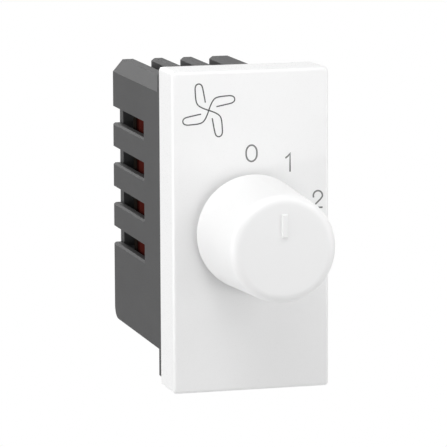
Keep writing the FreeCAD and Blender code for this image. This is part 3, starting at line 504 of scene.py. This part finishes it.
# A resistor lies along X. Each band has its place from the middle, and its colour.
RESISTOR_HALF_LENGTH = 3.01 * MM
BAND_HALF_WIDTH = 0.28 * MM
BANDS = (
    (-2.1 * MM, (0.12, 0.04, 0.015)),
    (-1.1 * MM, (0.012, 0.012, 0.012)),
    (-0.1 * MM, (0.5, 0.12, 0.01)),
    (1.9 * MM, (0.45, 0.3, 0.06)),
)
TIN = (0.7, 0.7, 0.69)


def resistor_finish(name, colour):
    """Lacquered body with four colour bands, between bare tinned leads."""
    finish, coat = lacquer(name, colour, gloss=0.5)
    place = finish.along("X")
    for middle, band in BANDS:
        coat = finish.mix(abs(place - middle) < BAND_HALF_WIDTH, coat, band)
    bare = abs(place) > RESISTOR_HALF_LENGTH
    finish.set("Base Color", finish.mix(bare, coat, TIN))
    finish.set("Metallic", bare)
    return finish.material


# How metal finishes squeeze their fine lines along each axis
DRAWN_ALONG_Y = (1, 0.08, 1)
DRAWN_ALONG_Z = (1, 1, 0.1)
TURNED_ROUND_Y = (0.1, 1, 0.1)


def metal_finish(name, colour, roughness, stretch):
    """Bare metal with fine drawn or turned lines along one direction."""
    finish = Finish(name, {"Metallic": 1.0})
    lines = finish.noise(0.12 * MM, detail=4.0, roughness=0.6, stretch=stretch)
    tarnish = finish.noise(1.2 * MM, detail=3.0)
    finish.set("Base Color", finish.mix(tarnish, tinted(colour, 0.82), tinted(colour, 1.08)))
    finish.set("Roughness", roughness + 0.14 * lines)
    finish.bump(lines, depth=0.004 * MM, strength=0.5)
    return finish.material


def ink_finish(name, colour):
    """Printed ink, a little uneven in its cover."""
    finish = Finish(name, {"Specular IOR Level": 0.3})
    cover = finish.noise(0.3 * MM, detail=3.0)
    finish.set("Base Color", finish.mix(cover, tinted(colour, 0.86), tinted(colour, 1.14)))
    finish.set("Roughness", 0.5 + 0.1 * cover)
    finish.bump(cover, depth=0.002 * MM, strength=0.5)
    return finish.material


class FAN_SWITCH_OT_finishes(bpy.types.Operator):
    """Give every solid of the switch its finish"""

    bl_idname = "fan_switch.finishes"
    bl_label = "Finish the solids"

    def execute(self, context):
        colours = context.scene.switch_colours
        finishes = {
            "white_cover": cover_finish("white_cover_satin", colours.cover),
            "white_knob": knob_finish("white_knob_gloss", colours.knob),
            "grey_housing": housing_finish("grey_housing_eroded", colours.housing),
            "black_moulding": plain_moulding(
                "black_moulding_matt", (0.012, 0.012, 0.013),
                roughness=0.55, grain_depth=0.01 * MM),
            "natural_nylon": plain_moulding(
                "natural_nylon_waxy", (0.72, 0.69, 0.6),
                roughness=0.42, grain_depth=0.006 * MM),
            "brown_laminate": laminate_finish("brown_laminate_fibres", (0.013, 0.01, 0.008)),
            "capacitor_red": capacitor_finish("capacitor_red_box", colours.capacitor),
            "resistor_tan": resistor_finish("resistor_tan_banded", (0.55, 0.42, 0.25)),
            "brass": metal_finish("brass_pressed", (0.72, 0.52, 0.2), 0.24, DRAWN_ALONG_Y),
            "spindle_alloy": metal_finish(
                "spindle_turned", (0.75, 0.75, 0.76), 0.26, TURNED_ROUND_Y),
            "spring_steel": metal_finish(
                "spring_steel_blued", (0.42, 0.42, 0.44), 0.3, DRAWN_ALONG_Y),
            "plated_steel": metal_finish(
                "plated_steel_zinc", (0.62, 0.62, 0.6), 0.28, DRAWN_ALONG_Z),
            "tinned_wire": metal_finish("tinned_wire_drawn", TIN, 0.3, DRAWN_ALONG_Y),
        }
        slots = {part["node"]: part["material_slot"] for part in frame["record"]["subparts"]}
        for name, node in frame["nodes"].items():
            node.material_slots[0].material = finishes[slots[name]]
        return {"FINISHED"}


# Studio

# Each lamp's place in metres, its width and height, and its power in watts
LAMPS = {
    "left_lamp": ((-0.7, 0.0, 0.1), 0.3, 0.6, 1.32),
    "low_left_lamp": ((-0.38, -0.105, -0.062), 0.45, 0.03, 0.38),
    "back_lamp": ((0.0, 0.8, 0.15), 0.3, 0.15, 1.27),
    "near_top_lamp": ((0.0, -0.06, 0.16), 0.12, 0.08, 0.072),
    "near_left_lamp": ((-0.04, -0.08, 0.09), 0.05, 0.05, 0.036),
    "near_upper_right_lamp": ((0.1, -0.1, 0.08), 0.06, 0.06, 0.034),
    "near_right_lamp": ((0.2, -0.15, 0.0), 0.08, 0.12, 0.12),
    "near_low_left_lamp": ((-0.12, -0.1, -0.06), 0.06, 0.04, 0.01),
}

# The floor and its paper, and the camera's sensor in millimetres and nearest sight
FLOOR_HALF_WIDTH = 1.5
PAPER_GREY = 0.8
PAPER_ROUGHNESS = 0.9
SENSOR_WIDTH = 36
NEAREST_SEEN = 10 * MM
WHITE = (1, 1, 1, 1)


def seen_white(tree, lit, white_kind):
    """White where the camera or a gloss looks at it, and the lit shader for all other light."""
    path = tree.nodes.new("ShaderNodeLightPath")
    seen = path.outputs["Is Camera Ray"]
    for ray in ("Is Glossy Ray", "Is Transmission Ray"):
        either = tree.nodes.new("ShaderNodeMath")
        either.operation = "MAXIMUM"
        tree.links.new(seen, either.inputs[0])
        tree.links.new(path.outputs[ray], either.inputs[1])
        seen = either.outputs[0]
    white = tree.nodes.new(white_kind)
    white.inputs["Color"].default_value = WHITE
    white.inputs["Strength"].default_value = 1
    both = tree.nodes.new("ShaderNodeMixShader")
    tree.links.new(seen, both.inputs["Fac"])
    tree.links.new(lit.outputs[0], both.inputs[1])
    tree.links.new(white.outputs[0], both.inputs[2])
    return both.outputs[0]


def hang_surround(scene, strength):
    """Even white light from all round."""
    world = bpy.data.worlds.new("white_surround")
    world.use_nodes = True
    scene.world = world
    tree = world.node_tree
    even = tree.nodes["Background"]
    even.inputs["Color"].default_value = WHITE
    even.inputs["Strength"].default_value = strength
    shown = seen_white(tree, even, "ShaderNodeBackground")
    tree.links.new(shown, tree.nodes["World Output"].inputs["Surface"])


def lay_floor(scene, height):
    """A plain floor of pale paper."""
    plane = bmesh.new()
    bmesh.ops.create_grid(plane, x_segments=1, y_segments=1, size=FLOOR_HALF_WIDTH)
    bmesh.ops.translate(plane, verts=plane.verts, vec=(0, 0, height))
    mesh = bpy.data.meshes.new("floor")
    plane.to_mesh(mesh)
    plane.free()
    floor = bpy.data.objects.new("floor", mesh)
    scene.collection.objects.link(floor)
    paper = bpy.data.materials.new("floor_paper")
    paper.use_nodes = True
    mesh.materials.append(paper)
    tree = paper.node_tree
    sheet = tree.nodes["Principled BSDF"]
    sheet.inputs["Base Color"].default_value = (PAPER_GREY, PAPER_GREY, PAPER_GREY, 1)
    sheet.inputs["Roughness"].default_value = PAPER_ROUGHNESS
    shown = seen_white(tree, sheet, "ShaderNodeEmission")
    tree.links.new(shown, tree.nodes["Material Output"].inputs["Surface"])


def softbox(scene, name, place, width, height, power):
    """A rectangular lamp that faces the switch and isn't seen itself."""
    lamp = bpy.data.lights.new(name, "AREA")
    lamp.shape = "RECTANGLE"
    lamp.size = width
    lamp.size_y = height
    lamp.energy = power
    holder = bpy.data.objects.new(name, lamp)
    holder.location = place
    holder.rotation_euler = Vector(place).to_track_quat("Z", "Y").to_euler()
    holder.visible_camera = False
    scene.collection.objects.link(holder)


def set_camera(scene, studio):
    """The camera, first turned to the side and down, then leant."""
    lens = bpy.data.cameras.new("camera")
    lens.sensor_width = SENSOR_WIDTH
    lens.lens = studio.focal_length
    lens.clip_start = NEAREST_SEEN
    camera = bpy.data.objects.new("camera", lens)
    camera.location = studio.camera_place
    aim = Euler((pi / 2 - studio.camera_pitch, 0, -studio.camera_yaw)).to_matrix()
    camera.rotation_euler = (aim @ Matrix.Rotation(studio.camera_roll, 3, "Z")).to_euler()
    scene.collection.objects.link(camera)
    bpy.context.scene.camera = camera


class FAN_SWITCH_OT_stage(bpy.types.Operator):
    """Set up the floor, the white surround, the lamps and the camera"""

    bl_idname = "fan_switch.stage"
    bl_label = "Set up the studio"

    def execute(self, context):
        scene = context.scene
        studio = scene.switch_studio
        scene.view_settings.view_transform = "Standard"
        hang_surround(scene, studio.ambient)
        lay_floor(scene, SWITCH_FOOT - studio.floor_drop)
        for name, (place, width, height, power) in LAMPS.items():
            softbox(scene, name, place, width, height, power)
        set_camera(scene, studio)
        return {"FINISHED"}


class FAN_SWITCH_PT_looks(bpy.types.Panel):
    """Sidebar panel with the switch's sizes, colours and steps"""

    bl_label = "Fan switch"
    bl_idname = "FAN_SWITCH_PT_looks"
    bl_space_type = "VIEW_3D"
    bl_region_type = "UI"
    bl_category = "Fan switch"

    def draw(self, context):
        scene = context.scene
        for settings in (scene.switch_print, scene.switch_colours, scene.switch_studio):
            box = self.layout.box()
            for name in settings.__annotations__:
                box.prop(settings, name)
        for step in STEPS:
            self.layout.operator(step.bl_idname)


SETTINGS = {
    "switch_print": PrintSizes,
    "switch_colours": FinishColours,
    "switch_studio": StudioSizes,
}
STEPS = (
    FAN_SWITCH_OT_finishes,
    FAN_SWITCH_OT_numbers,
    FAN_SWITCH_OT_fan_symbol,
    FAN_SWITCH_OT_stage,
)


def register():
    """Register the classes, and give every scene their settings."""
    for kind in (*SETTINGS.values(), *STEPS, FAN_SWITCH_PT_looks):
        bpy.utils.register_class(kind)
    for name, settings in SETTINGS.items():
        setattr(bpy.types.Scene, name, bpy.props.PointerProperty(type=settings))


def unregister():
    """Undo what register did."""
    for name in SETTINGS:
        delattr(bpy.types.Scene, name)
    for kind in (FAN_SWITCH_PT_looks, *STEPS, *SETTINGS.values()):
        bpy.utils.unregister_class(kind)


def main():
    """Dress the switch, step by step."""
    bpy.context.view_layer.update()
    register()
    bpy.ops.fan_switch.finishes()
    bpy.ops.fan_switch.numbers()
    bpy.ops.fan_switch.fan_symbol()
    bpy.ops.fan_switch.stage()


if __name__ == "__main__":
    main()
